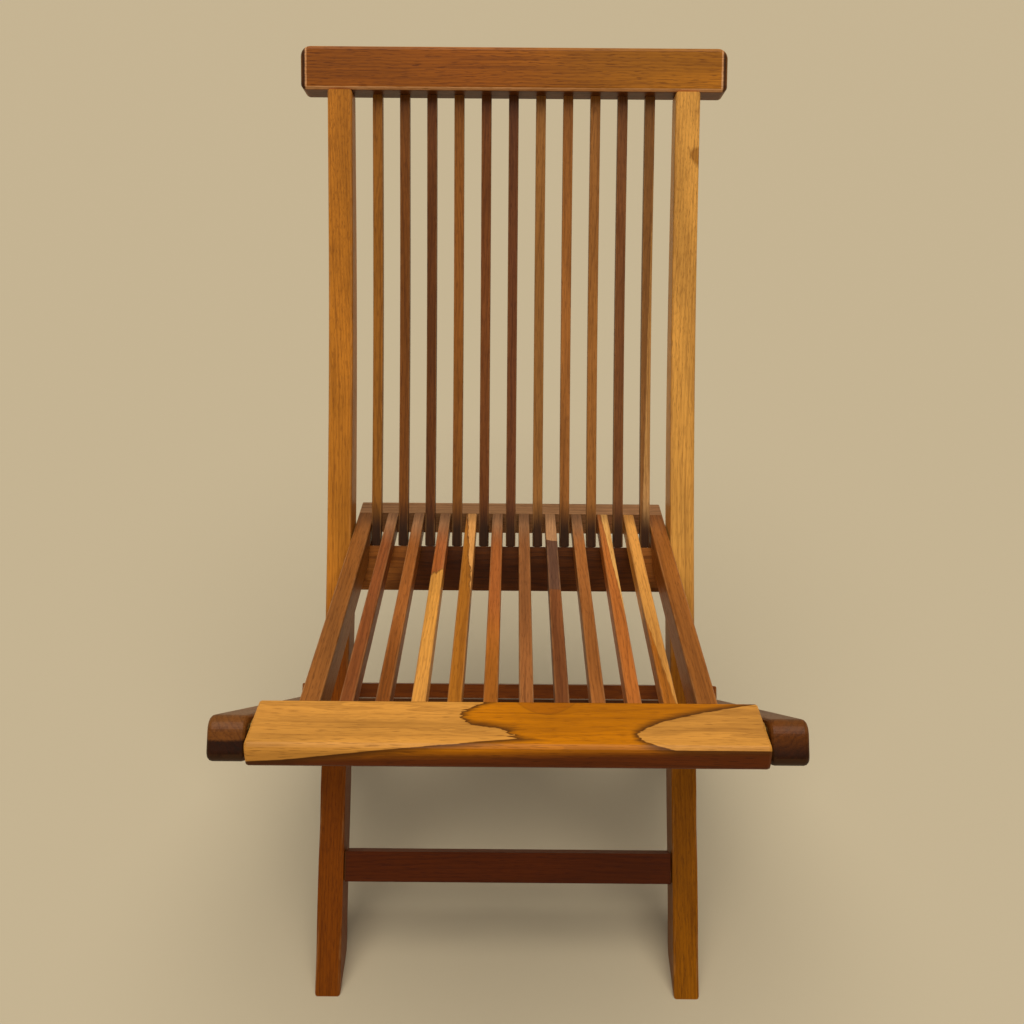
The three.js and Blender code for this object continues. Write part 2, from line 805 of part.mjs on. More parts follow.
function makeSeatSlats() {
  const { width, depth, arris } = seatSlat;
  const outline = rectangle(fit.touch, -depth, seat.innerLength - fit.touch, 0);
  const blank = acrossChair(outline, width, arris, 2);
  const geometry = shape(blank, { join: barTenons(seatSlat, 0, 0) });
  slatPlaces(seatSlat).forEach((x, index) => {
    const name = `seat_slat_${String(index + 1).padStart(2, '0')}`;
    const material = seatSlatTones[index % seatSlatTones.length];
    add('seat', name, geometry, material, seatFrame, x);
  });
}

// Bolts, nuts and washers

// A bolt with a low head and a hexagon socket, drawn for the right side and mirrored by sign.
function boltGeometry(sign, end) {
  const headFace = legOuter - bolt.headRecess + fit.touch;
  const headTop = headFace + bolt.headHeight;
  const radius = bolt.diameter / 2;
  const head = bolt.headDiameter / 2;
  const profile = [
    [0, end],
    [radius, end],
    [radius, headFace],
    [head, headFace],
    [head, headTop - bolt.headBevel],
    [head - bolt.headBevel, headTop],
    [0, headTop],
  ];
  const socket = hexagon(bolt.socketDiameter, headTop - bolt.socketDepth, headTop + fit.cutOverrun);
  const geometry = shape(turned(profile), { cut: [socket] });
  return sign > 0 ? geometry : geometry.rotateZ(Math.PI);
}

function ringGeometry(outerDiameter, from, to) {
  const inner = bolt.diameter / 2 + fit.running;
  const outer = outerDiameter / 2;
  return turned([[inner, from], [outer, from], [outer, to], [inner, to], [inner, from]]);
}

function makeCrossingBolts() {
  const frame = frameAt(crossing.y, crossing.z, -stile.footLean);
  const nutFace = stileInner + fit.touch;
  for (const { name, sign } of sides) {
    const bolts = boltGeometry(sign, nutFace);
    add('backFrame', `crossing_bolt_${name}`, bolts, tone.brass, frame);
    const middle = (stile.outerHalfSpan + legInner) / 2;
    const spacerHalf = rearLeg.gapToStile / 2 - fit.touch;
    const spacer = ringGeometry(bolt.spacerDiameter, -spacerHalf, spacerHalf);
    add('backFrame', `crossing_spacer_${name}`, spacer, tone.brass, frame, sign * middle);
    const bore = drill(bolt.diameter + 2 * fit.touch, -bolt.nutWidth, bolt.nutWidth);
    const nutBlank = hexagon(bolt.nutWidth, 0, bolt.nutHeight).translate(-bolt.nutHeight / 2, 0, 0);
    const nut = shape(nutBlank, { cut: [bore] });
    const nutPlace = frameAt(crossing.y, crossing.z, 0);
    const nutX = sign * (nutFace + bolt.nutHeight / 2 - fit.touch);
    add('backFrame', `crossing_nut_${name}`, nut, tone.brass, nutPlace, nutX);
  }
}

function makeSeatBolts() {
  const frame = frameAt(pivot.y, pivot.z, -seat.slope);
  const end = frontRailHalf - bolt.barrelInset - bolt.pastBarrel;
  for (const { name, sign } of sides) {
    add('seat', `seat_bolt_${name}`, boltGeometry(sign, end), tone.brass, frame);
    const half = frontRail.endPlay / 2 - fit.touch;
    const washer = ringGeometry(bolt.washerDiameter, -half, half);
    const middle = sign * (frontRailHalf + legInner) / 2;
    add('seat', `seat_washer_${name}`, washer, tone.brass, frame, middle);
  }
}

makeStiles();
makeTopRail();
makeLowerBackRail();
makeBackSlats();
makeFrontStretcher();
makeRearLegs();
makeStopBar();
makeStopBarScrews();
makeRearStretcher();
makeFrontRail();
makeSideRails();
makeSeatSlats();
makeRearRail();
makeBarrelNuts();
makeCrossingBolts();
makeSeatBolts();

// The chair stands with the middle of its footprint box on the origin.

const chair = new THREE.Group();
for (const [name, members] of Object.entries(meshes)) {
  const body = new THREE.Group();
  body.name = name;
  body.add(...members);
  chair.add(body);
}
const footprint = new THREE.Box3().setFromObject(chair, true);
chair.position.y = -(footprint.min.y + footprint.max.y) / 2;
chair.userData = {
  crossing: [0, crossing.y + chair.position.y, crossing.z],
  seatPivot: [0, pivot.y + chair.position.y, pivot.z],
};
chair.updateMatrixWorld(true);

export default chair;
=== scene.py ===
# %% [markdown]
# A folding teak chair, dressed for a picture. The packed model brings every rail, slat and bolt at
# its real size and in its real place. This script gives each of them a finish: sawn teak in many
# tones, each board with its own figure, and brass-plated hardware. Nothing is moved or resized.

# %% Load the packed model
import math

import bpy
from mathutils import Matrix, Vector


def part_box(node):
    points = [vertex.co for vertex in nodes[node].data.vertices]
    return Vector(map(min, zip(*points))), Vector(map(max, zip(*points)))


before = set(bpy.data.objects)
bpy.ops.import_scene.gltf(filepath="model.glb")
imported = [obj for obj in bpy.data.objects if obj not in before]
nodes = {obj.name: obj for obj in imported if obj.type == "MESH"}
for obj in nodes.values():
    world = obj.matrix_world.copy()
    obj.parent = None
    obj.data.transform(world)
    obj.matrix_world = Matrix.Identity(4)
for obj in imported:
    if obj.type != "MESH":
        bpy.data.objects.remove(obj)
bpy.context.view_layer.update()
MILLIMETRE = 0.001

# %% [markdown]
# The picture is taken from 20 cm above the chair's top rail and 60 cm in front of the seat, and
# looks a little over a third of a right angle down. Its place was worked out from the chair's own
# straight edges, so the slats converge as they do for the eye. The lens is written as a focal
# length in pixels of a square picture, which is what such a fit gives, and turned into millimetres.

# %% The camera
PICTURE = 1024
FOCAL_PIXELS = 1046
SENSOR = 36.0
CAMERA_PLACE = Vector((0.0028, -0.9274, 1.0502))
CAMERA_PITCH = math.radians(33.447)
CAMERA_YAW = math.radians(-0.081)
CAMERA_ROLL = math.radians(0.4)
FLOOR_TO_HORIZON = math.radians(90)

camera_data = bpy.data.cameras.new("camera")
camera_data.sensor_width = SENSOR
camera_data.lens = FOCAL_PIXELS / PICTURE * SENSOR
camera = bpy.data.objects.new("camera", camera_data)
bpy.context.scene.collection.objects.link(camera)
bpy.context.scene.camera = camera
# A new camera looks straight down, so it is raised to the horizon less the pitch.
look_down = Matrix.Rotation(FLOOR_TO_HORIZON - CAMERA_PITCH, 4, "X")
turn = Matrix.Rotation(-CAMERA_YAW, 4, "Z")
tip = Matrix.Rotation(CAMERA_ROLL, 4, "Z")
camera.matrix_world = Matrix.Translation(CAMERA_PLACE) @ turn @ look_down @ tip
print("camera", tuple(round(v, 4) for v in camera.location), "lens", round(camera_data.lens, 2))

# %% [markdown]
# A finisher picks colours from a card, where they are eight-bit values, but shaders work in linear
# light. This helper turns one into the other, with the numbers of the sRGB standard.


# %% Colours
def paint(code):
    channels = [int(code[i:i + 2], 16) / 255 for i in (0, 2, 4)]
    linear = [c / 12.92 if c <= 0.04045 else ((c + 0.055) / 1.055) ** 2.4 for c in channels]
    return (*linear, 1.0)


print("mid grey is", round(paint("808080")[0], 3), "in linear light")

# %% [markdown]
# Node trees get long when they are typed one call at a time. A small drawing board keeps an effect
# short: it adds a node, sets its values and links its inputs in one line.


# %% A drawing board for node trees
class Board:
    def __init__(self, tree):
        self.tree = tree

    def add(self, kind, links=None, **values):
        node = self.tree.nodes.new(kind)
        for name, value in values.items():
            setattr(node, name, value)
        for socket, source in (links or {}).items():
            self.feed(node.inputs[socket], source)
        return node

    def feed(self, socket, source):
        if isinstance(source, bpy.types.NodeSocket):
            self.tree.links.new(source, socket)
        else:
            socket.default_value = source

    def math(self, operation, *sources):
        links = dict(enumerate(sources))
        return self.add("ShaderNodeMath", links, operation=operation).outputs[0]

    def vector(self, operation, *sources, output=0):
        links = dict(enumerate(sources))
        return self.add("ShaderNodeVectorMath", links, operation=operation).outputs[output]

    def between(self, value, low, high):
        """0 below low, 1 above high, smooth in the middle."""
        links = {"Value": value, "From Min": low, "From Max": high}
        return self.add("ShaderNodeMapRange", links, interpolation_type="SMOOTHSTEP").outputs[0]

    def noise(self, vector, scale, detail=2.0, roughness=0.5):
        links = {"Vector": vector, "Scale": scale, "Detail": detail, "Roughness": roughness}
        return self.add("ShaderNodeTexNoise", links).outputs["Fac"]

    def stretched(self, vector, stretch, detail=2.0, roughness=0.5):
        """Noise with a fineness of its own along each axis."""
        return self.noise(self.vector("MULTIPLY", vector, stretch), 1.0, detail, roughness)

    def mix(self, factor, first, second):
        # A Mix node has sockets for every kind of data. 6, 7 and output 2 are those for colours.
        node = self.add("ShaderNodeMix", {0: factor, 6: first, 7: second}, data_type="RGBA")
        return node.outputs[2]


print("board helpers", [name for name in vars(Board) if not name.startswith("_")])

# %% [markdown]
# An effect that several finishes share is written once as a shader group with named sockets. It
# hands out colours, masks and heights only. The shader that turns them into a surface stays in
# each material.

# %% Shader groups
SOCKETS = {"float": "NodeSocketFloat", "colour": "NodeSocketColor", "vector": "NodeSocketVector"}


def effect(name, inputs, outputs):
    """An empty shader group with named sockets, and a board to draw on."""
    tree = bpy.data.node_groups.new(name, "ShaderNodeTree")
    for label, (kind, value) in inputs.items():
        socket = tree.interface.new_socket(label, in_out="INPUT", socket_type=SOCKETS[kind])
        if value is not None:
            socket.default_value = value
    for label, kind in outputs.items():
        tree.interface.new_socket(label, in_out="OUTPUT", socket_type=SOCKETS[kind])
    board = Board(tree)
    start = board.add("NodeGroupInput").outputs
    end = board.add("NodeGroupOutput").inputs
    return board, start, end


def group(board, name, links):
    """The effect with that name, placed on a board. Gives its outputs."""
    node = board.add("ShaderNodeGroup")
    node.node_tree = bpy.data.node_groups[name]
    for socket, source in links.items():
        board.feed(node.inputs[socket], source)
    return node.outputs


def seeded(board, given, shift):
    """The place, moved along a shift by the seed, so that each board has a noise of its own."""
    moved = board.add("ShaderNodeVectorMath", {0: shift, "Scale": given["Seed"]}, operation="SCALE")
    return board.vector("ADD", given["Vector"], moved.outputs[0])


print("sockets", sorted(SOCKETS))

# %% [markdown]
# Timber is a solid material: the figure on a face is a cut through the year rings of a trunk. So
# the grain is worked out in space and not painted on. Each board gets directions of its own with X
# along the grain, and the rings are circles round a pith line, which for most boards lies outside
# the wood. Wavering the radius a little gives the flames of a flat-sawn face. Because it is solid,
# the end grain, the arrises and all four sides agree. A ring darkens slowly and ends at once, and no
# two years are equally strong.

# %% Year rings
board, given, made = effect(
    "year_rings",
    {
        "Vector": ("vector", None),
        "Pith": ("vector", (0.0, 0.03, 0.05)),
        "Ring Width": ("float", 0.004),
        "Waver": ("float", 0.004),
        "Seed": ("float", 0.0),
    },
    {"Late Wood": "float"},
)
WAVER_SHIFT = (1.7, 2.3, 3.1)
WAVER_STRETCH = (4.0, 30.0, 30.0)
WAVER_GAIN = 4.0
# The shares of a year between which a ring darkens, and those between which it ends.
DARKENING = (0.35, 0.93)
WINTER = (1.0, 0.95)
WEAKEST_YEAR = 0.2

wander = board.stretched(seeded(board, given, WAVER_SHIFT), WAVER_STRETCH, detail=3.0,
                         roughness=0.55)
wander = board.math("MULTIPLY", board.math("SUBTRACT", wander, 0.5), given["Waver"])
wander = board.math("MULTIPLY", wander, WAVER_GAIN)
from_pith = board.vector("SUBTRACT", given["Vector"], given["Pith"])
from_pith = board.vector("MULTIPLY", from_pith, (0.0, 1.0, 1.0))
radius = board.math("ADD", board.vector("LENGTH", from_pith, output=1), wander)
turns = board.math("DIVIDE", radius, given["Ring Width"])
year = board.math("FLOOR", turns)
age = board.math("FRACT", turns)
late = board.math("MULTIPLY", board.between(age, *DARKENING), board.between(age, *WINTER))
chance = board.add("ShaderNodeTexWhiteNoise", {"W": year}, noise_dimensions="1D").outputs["Value"]
strength = board.math("ADD", board.math("MULTIPLY", chance, 1.0 - WEAKEST_YEAR), WEAKEST_YEAR)
board.feed(made["Late Wood"], board.math("MULTIPLY", late, strength))
print("year_rings nodes", len(board.tree.nodes))

# %% [markdown]
# Between the rings, teak shows dark mineral streaks a millimetre or two wide, paler ones beside
# them, and open pores that read as short dark dashes. All three are noise stretched along the
# grain. The oil in the wood fills the pores only in part, so they are a little rougher and lower
# than the rest, which the height gives to the bump.

# %% The grain of teak
board, given, made = effect(
    "teak_grain",
    {
        "Vector": ("vector", None),
        "Heart": ("colour", (0.25, 0.1, 0.03, 1)),
        "Pale": ("colour", (0.4, 0.2, 0.06, 1)),
        "Vein": ("colour", (0.08, 0.03, 0.01, 1)),
        "Late Wood": ("float", 0.0),
        "Rings": ("float", 0.5),
        "Streaks": ("float", 0.5),
        "Pores": ("float", 0.5),
        "Seed": ("float", 0.0),
    },
    {"Color": "colour", "Roughness": "float", "Height": "float"},
)
GRAIN_SHIFT = (1.3, 2.9, 1.9)
CLOUD_STRETCH = (5.0, 24.0, 24.0)
BAND_STRETCH = (4.0, 210.0, 210.0)
STREAK_STRETCH = (15.0, 560.0, 560.0)
PORE_STRETCH = (70.0, 1250.0, 1250.0)
# The values of the noise between which each mask rises.
CLOUD = (0.32, 0.68)
DARK_BAND = (0.5, 0.7)
PALE_BAND = (0.45, 0.28)
DARK_STREAK = (0.52, 0.7)
PORE = (0.56, 0.68)
MINERAL_SHARE = 0.6
SATIN = 0.4
DULLED = 0.1
PORE_DEPTH = 0.6
RING_DEPTH = 0.4


def mineral(noise, limits):
    """Where one kind of streak lies, as strong as this board's streaks are."""
    return board.math("MULTIPLY", board.between(noise, *limits), given["Streaks"])


place = seeded(board, given, GRAIN_SHIFT)
cloud = board.stretched(place, CLOUD_STRETCH)
band = board.stretched(place, BAND_STRETCH, detail=3.0, roughness=0.6)
streak = board.stretched(place, STREAK_STRETCH, detail=3.0, roughness=0.6)
pore = board.between(board.stretched(place, PORE_STRETCH, detail=1.0), *PORE)
dark_streak = mineral(streak, DARK_STREAK)

colour = board.mix(board.between(cloud, *CLOUD), given["Heart"], given["Pale"])
late = board.math("MULTIPLY", given["Late Wood"], given["Rings"])
colour = board.mix(late, colour, given["Vein"])
for mask, tone in ((mineral(band, DARK_BAND), "Vein"), (mineral(band, PALE_BAND), "Pale"),
                   (dark_streak, "Vein")):
    colour = board.mix(board.math("MULTIPLY", mask, MINERAL_SHARE), colour, given[tone])
colour = board.mix(board.math("MULTIPLY", pore, given["Pores"]), colour, given["Vein"])
board.feed(made["Color"], colour)

dull = board.math("MULTIPLY", board.math("ADD", dark_streak, pore), DULLED)
board.feed(made["Roughness"], board.math("ADD", SATIN, dull))
dip = board.math("ADD", board.math("MULTIPLY", pore, PORE_DEPTH),
                 board.math("MULTIPLY", late, RING_DEPTH))
board.feed(made["Height"], board.math("SUBTRACT", 1.0, dip))
print("teak_grain nodes", len(board.tree.nodes))

# %% [markdown]
# Sapwood is the pale outer band of the trunk. Where a board is sawn close to it, part of the face
# turns gold along a sharp, slightly ragged line. The line is given as a signed distance, positive
# on the gold side, so that shapes combine as solids do: the larger of two is their union and the
# smaller one is what they share. It may bow into a parabola, for the tongues of a flat-sawn face,
# and there it is divided by the slope, which keeps it a distance. Where the line crosses the grain
# it is torn into little flames, which noise stretched along the grain gives.

# %% The edge of a patch of another tone
board, given, made = effect(
    "tone_edge",
    {
        "Vector": ("vector", None),
        "Tip": ("vector", (0.0, 0.0, 0.0)),
        "Along": ("vector", (1.0, 0.0, 0.0)),
        "Across": ("vector", (0.0, 1.0, 0.0)),
        "Bow": ("float", 0.0),
        "Ragged": ("float", 0.002),
        "Ragged Scale": ("float", 120.0),
    },
    {"Inside": "float"},
)
FLAME_STRETCH = (0.2, 1.0, 1.0)

offset = board.vector("SUBTRACT", given["Vector"], given["Tip"])
along = board.vector("DOT_PRODUCT", offset, given["Along"], output=1)
across = board.vector("DOT_PRODUCT", offset, given["Across"], output=1)
bowed = board.math("MULTIPLY", board.math("MULTIPLY", across, across), given["Bow"])
flames = board.vector("MULTIPLY", given["Vector"], FLAME_STRETCH)
tear = board.noise(flames, given["Ragged Scale"], detail=3.0, roughness=0.6)
tear = board.math("MULTIPLY", board.math("SUBTRACT", tear, 0.5), given["Ragged"])
inside = board.math("ADD", board.math("SUBTRACT", along, bowed), tear)
# The slope of bow * across^2 is 2 * bow * across, and its square is 4 * bow * bowed.
slope_squared = board.math("MULTIPLY", board.math("MULTIPLY", bowed, given["Bow"]), 4.0)
steepness = board.math("SQRT", board.math("ADD", 1.0, slope_squared))
board.feed(made["Inside"], board.math("DIVIDE", inside, steepness))
print("tone_edge nodes", len(board.tree.nodes))

# %% [markdown]
# Hands and cloths polish the arrises first. On these boards every arris is a narrow sloping face,
# so its normal points along none of the board's three directions. That gives a mask for the pale
# worn edges with no baking at all. A coarse noise leaves some stretches less worn.

# %% Worn arrises
board, given, made = effect(
    "worn_arris",
    {"Vector": ("vector", None), "Normal": ("vector", None), "Seed": ("float", 0.0)},
    {"Mask": "float"},
)
WEAR_SHIFT = (3.1, 1.9, 2.3)
WEAR_SCALE = 45.0
# How square to the board a face is where the wear begins, and where it is full.
SLOPING = (0.985, 0.9)
WORN = (0.3, 0.6)

size = board.vector("ABSOLUTE", given["Normal"])
parts = board.add("ShaderNodeSeparateXYZ", {"Vector": size}).outputs
flat = board.math("MAXIMUM", board.math("MAXIMUM", parts[0], parts[1]), parts[2])
patchy = board.noise(seeded(board, given, WEAR_SHIFT), WEAR_SCALE, detail=3.0, roughness=0.6)
worn = board.math("MULTIPLY", board.between(flat, *SLOPING), board.between(patchy, *WORN))
board.feed(made["Mask"], worn)
print("worn_arris nodes", len(board.tree.nodes))

# %% [markdown]
# Every board has three directions of its own: along the grain, across it, and out of its widest
# face. The chair is symmetric and nothing is skewed, so a board runs either straight across the
# chair, or up and down in the side view. For a straight board the lean comes from its largest face.
# A curved one is sawn from a straight plank, so its grain follows the line between its two ends.

# %% The directions of the boards
NOT_SIDEWAYS = 0.1


def largest_face(node):
    """The normal of the widest face that looks up or to the front."""
    faces = [face for face in nodes[node].data.polygons if abs(face.normal.x) < NOT_SIDEWAYS]
    out = max(faces, key=lambda face: face.area).normal
    return -out if out.z < 0 else out.copy()


def crosswise(node):
    out = largest_face(node)
    return ((1.0, 0.0, 0.0), (0.0, out.z, -out.y), (0.0, out.y, out.z))


def lengthwise(node):
    out = largest_face(node)
    return ((0.0, out.z, -out.y), (1.0, 0.0, 0.0), (0.0, out.y, out.z))


def curved(node):
    low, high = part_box(node)
    rise = (high - low).yz.normalized()
    return ((0.0, rise.x, rise.y), (1.0, 0.0, 0.0), (0.0, -rise.y, rise.x))


def in_board_frame(board, source, rows):
    """The same vector, in a board's own directions."""
    parts = [board.vector("DOT_PRODUCT", source, row, output=1) for row in rows]
    return board.add("ShaderNodeCombineXYZ", dict(enumerate(parts))).outputs[0]


for name, directions in (("stile_left", curved), ("seat_slat_05", lengthwise)):
    grain = directions(name)[0]
    print(name, "runs at", round(math.degrees(math.atan2(grain[2], grain[1])), 1), "degrees")

# %% [markdown]
# A patch of another tone is a set of tones and the edge that it ends at. Patches are laid one over
# another like veneers, each with the same grain running through it. A soft edge fades over its
# width, and a sharp one may have the dark line along its outside that sapwood often has. An edge is
# kept as a function here, so that a figure can be put together before there is a material to draw
# it in.

# %% Patches of another tone
RIM_TONE = "452305"


def edge_of(tip, along, bow=0.0, ragged=0.002, scale=300.0):
    """An edge of a patch on a board: its tip, and the direction that leads into the patch."""
    x, y, z = Vector(along).normalized()
    links = {"Tip": Vector(tip), "Along": (x, y, z), "Across": (-y, x, 0.0), "Bow": bow,
             "Ragged": ragged, "Ragged Scale": scale}
    return lambda board, at: group(board, "tone_edge", {"Vector": at, **links})["Inside"]


def patch(tones, inside, soft=0.0005, band=0.001, dark=0.0):
    return tones, inside, soft, band, dark


def toned_grain(board, links, tones):
    heart, pale, vein = (paint(tone) for tone in tones)
    return group(board, "teak_grain", {**links, "Heart": heart, "Pale": pale, "Vein": vein})


def patched(board, at, links, colour, patches):
    """Lays patches of other tones over a colour. A dark band may run along the outside."""
    for tones, inside, soft, band, dark in patches:
        inside = inside(board, at)
        mask = board.between(inside, -soft, soft)
        if dark:
            near = board.math("MULTIPLY", board.between(inside, -band, 0.0), dark)
            colour = board.mix(near, colour, paint(RIM_TONE))
        colour = board.mix(mask, colour, toned_grain(board, links, tones)["Color"])
    return colour


print("dark line", [round(v, 3) for v in paint(RIM_TONE)[:3]], "in linear light")

# %% [markdown]
# The finish of one board is its grain, its patches, its worn arrises, and a satin varnish over all
# of them. Real varnish is a thin clear film, which here is a weak coat on a base that shines little
# by itself. The middle of the board is the origin of its grain, unless a board with a figure of its
# own starts somewhere else.

# %% The finish of one board
ARRIS_TONE = "c08a52"
BUMP_STRENGTH = 0.35
BUMP_DEPTH = 0.2 * MILLIMETRE
VARNISH = 0.05
VARNISH_ROUGHNESS = 0.25
TEAK_SHINE = 0.1


def blank_material(name):
    """A new material without nodes, and a board to draw on."""
    material = bpy.data.materials.new(name)
    material.use_nodes = True
    material.node_tree.nodes.clear()
    return material, Board(material.node_tree)


def own_normal(board):
    """The face's normal as the piece itself has it, which a joint that moves doesn't change."""
    normal = board.add("ShaderNodeNewGeometry").outputs["True Normal"]
    return board.add("ShaderNodeVectorTransform", {"Vector": normal}, vector_type="NORMAL",
                     convert_from="WORLD", convert_to="OBJECT").outputs[0]


def teak(name, rows, tones, pith=(0.03, 0.05), ring=0.004, rings=0.45, waver=0.004, streaks=0.6,
         pores=0.5, seed=0, wear=0.25, arris_tone=ARRIS_TONE, start=None, patches=()):
    """tones are heart, pale and vein. pith is its place across and out, from the middle."""
    material, board = blank_material(name)
    low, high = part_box(name)
    start = start or (low + high) / 2
    at = board.add("ShaderNodeTexCoord").outputs["Object"]
    at = in_board_frame(board, board.vector("SUBTRACT", at, tuple(start)), rows)
    normal = in_board_frame(board, own_normal(board), rows)
    seed = float(seed)
    late = group(board, "year_rings", {"Vector": at, "Pith": (0.0, *pith), "Ring Width": ring,
                                       "Waver": waver, "Seed": seed})["Late Wood"]
    links = {"Vector": at, "Late Wood": late, "Rings": rings, "Streaks": streaks, "Pores": pores,
             "Seed": seed}
    grain = toned_grain(board, links, tones)
    colour = patched(board, at, links, grain["Color"], patches)
    arris = group(board, "worn_arris", {"Vector": at, "Normal": normal, "Seed": seed})
    colour = board.mix(board.math("MULTIPLY", arris["Mask"], wear), colour, paint(arris_tone))
    bump = board.add("ShaderNodeBump", {"Height": grain["Height"], "Strength": BUMP_STRENGTH,
                                        "Distance": BUMP_DEPTH})
    shader = board.add("ShaderNodeBsdfPrincipled", {
        "Base Color": colour,
        "Roughness": grain["Roughness"],
        "Normal": bump.outputs[0],
        "Coat Weight": VARNISH,
        "Coat Roughness": VARNISH_ROUGHNESS,
        "Specular IOR Level": TEAK_SHINE,
    })
    board.add("ShaderNodeOutputMaterial", {"Surface": shader.outputs[0]})
    return material


def dress(node, material):
    """Gives a packed piece its finish, in every material slot that it has."""
    for slot in nodes[node].material_slots:
        slot.material = material


def in_teak(name, directions, tones, **figure):
    """Dresses a piece in a teak of its own, with the grain along its own directions."""
    dress(name, teak(name, directions(name), tones, **figure))


print("slots of each piece", {len(node.material_slots) for node in nodes.values()})

# %% [markdown]
# The stiles are back post and front leg in one, each sawn from a single plank, the left more orange
# and the right more golden, with a small knot at its outer edge near the top. Low down, in front of
# the crossing bolt, both are painted darker, mostly as painted shade of the seat above them. A bent
# post could be steamed, but on such chairs it is band-sawn from a wide board, so its grain runs
# straight through the curve. One straight frame from end to end gives that. The second tone, this
# painted shade, is a patch with a very soft edge, which turns over a hand's width.

# %% Stiles
STILE_LEFT = ("ac6a1c", "c87c23", "74400d")
STILE_RIGHT = ("c88d3e", "e9a549", "885722")
# Painted shade: the front legs, darker below the seat that shades them.
FRONT_LEG_LEFT_SHADE = ("723801", "864201", "4c1f00")
FRONT_LEG_RIGHT_SHADE = ("804901", "965701", "582b00")
FRONT_LEG_SHADE_FADE = 0.06
KNOT = ("a0651f", "b37629", "704010")
front_leg_shade = edge_of((-0.1, 0, 0), (-1, 0, 0))
knot = edge_of((0.413, 0.004, 0), (-0.3, 1, 0), bow=110.0, ragged=0.004, scale=400.0)
in_teak("stile_left", curved, STILE_LEFT, pith=(0.11, 0.02), ring=0.0032, waver=0.003, seed=1,
        patches=[patch(FRONT_LEG_LEFT_SHADE, front_leg_shade, soft=FRONT_LEG_SHADE_FADE)])
in_teak("stile_right", curved, STILE_RIGHT, pith=(-0.12, 0.03), ring=0.0036, waver=0.003, seed=2,
        patches=[patch(FRONT_LEG_RIGHT_SHADE, front_leg_shade, soft=FRONT_LEG_SHADE_FADE),
                 patch(KNOT, knot, soft=0.0015, band=0.003, dark=0.3)])
print("left stile", len(bpy.data.materials["stile_left"].node_tree.nodes), "nodes, right stile",
      len(bpy.data.materials["stile_right"].node_tree.nodes))

# %% [markdown]
# Some figures need two edges at once. As each edge is a distance, the smaller of two is what they
# share, the larger one is both together, and a minus sign turns an edge inside out. With these
# three, a figure is put together like a solid from simple ones.


# %% Edges put together
def combined(operation, edges):
    def inside(board, at):
        distance = edges[0](board, at)
        for edge in edges[1:]:
            distance = board.math(operation, distance, edge(board, at))
        return distance
    return inside


def shared(*edges):
    return combined("MINIMUM", edges)


def joined(*edges):
    return combined("MAXIMUM", edges)


def outside(edge):
    return lambda board, at: board.math("MULTIPLY", edge(board, at), -1.0)


print("ways to put edges together", [way.__name__ for way in (shared, joined, outside)])

# %% [markdown]
# The top rail is the piece that hands hold. It is a rich orange-brown with fine straight grain. Its
# lower front arris is worn down to pale wood. The underside is painted dark as painted shade, and so
# are the two ends, where their rounding turns away. A thin pale line runs up the face beside each
# end: a painted highlight where the rounding begins. The mask for worn arrises would treat all of
# them alike, so these places are patches, cut out of the board's own directions: they stay on their
# arris however the rail leans.

# %% Top rail
TOP_LEFT = ("8c4c0b", "a3590f", "5e2c04")
TOP_RIGHT = ("a26311", "bd7416", "6e3b06")
# Pale worn wood on the lower front arris, and the painted highlight line beside each end.
TOP_WORN_AND_HIGHLIGHT = ("dc9c62", "e8b07a", "a06838")
# Painted shade: the dark underside and the dark rounded ends.
TOP_UNDER_SHADE = ("5a3010", "683a14", "3a1c08")
TOP_END_SHADE = ("3a1c0a", "48260e", "200e05")
TOP_ARRIS = "c07a2a"
FACE_DROP = 20.5 * MILLIMETRE
FRONT_REACH = 14.5 * MILLIMETRE
HIGHLIGHT_LINE = 6.8 * MILLIMETRE
END_SHADE_WIDTH = 5.2 * MILLIMETRE
to_the_right = edge_of((0.06, 0, 0), (1, 0.3, 0))
low_on_the_face = edge_of((0, -FACE_DROP, 0), (0, -1, 0), ragged=0.001)
near_the_front = edge_of((0, 0, FRONT_REACH), (0, 0, 1), ragged=0.001)


def both_ends(tones, width, soft):
    """Patches that cover the last bit of the rail at either end."""
    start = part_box("top_rail")[1].x - width
    return [patch(tones, edge_of((side * start, 0, 0), (side, 0, 0), ragged=0.001), soft=soft)
            for side in (-1, 1)]


in_teak("top_rail", crosswise, TOP_LEFT, pith=(-0.1, -0.02), ring=0.0035, rings=0.5, waver=0.0035,
        pores=0.8, wear=0.3, arris_tone=TOP_ARRIS, seed=3, patches=[
            patch(TOP_RIGHT, to_the_right, soft=0.12),
            patch(TOP_WORN_AND_HIGHLIGHT, shared(low_on_the_face, near_the_front), soft=0.001),
            *both_ends(TOP_WORN_AND_HIGHLIGHT, HIGHLIGHT_LINE, 0.0005),
            *both_ends(TOP_END_SHADE, END_SHADE_WIDTH, 0.001),
            patch(TOP_UNDER_SHADE, shared(low_on_the_face, outside(near_the_front)), soft=0.001)])
print("top rail leans", [round(v, 2) for v in largest_face("top_rail")])

# %% [markdown]
# No two slats came from the same plank, which is half of this chair's charm. A maker would sort
# them by tone, and here nobody did: golden tan stands beside a deep red-brown. Each row of the list
# is one slat, from the left to the right, as heartwood, pale wood and vein. A loop gives each slat
# a material with its own seed and pith, where one shared material would repeat itself. Their feet
# fade to nearly black, where they stand in the lower rail: partly the wood's own darker tone there,
# and partly painted shade, where the seat above shades them.

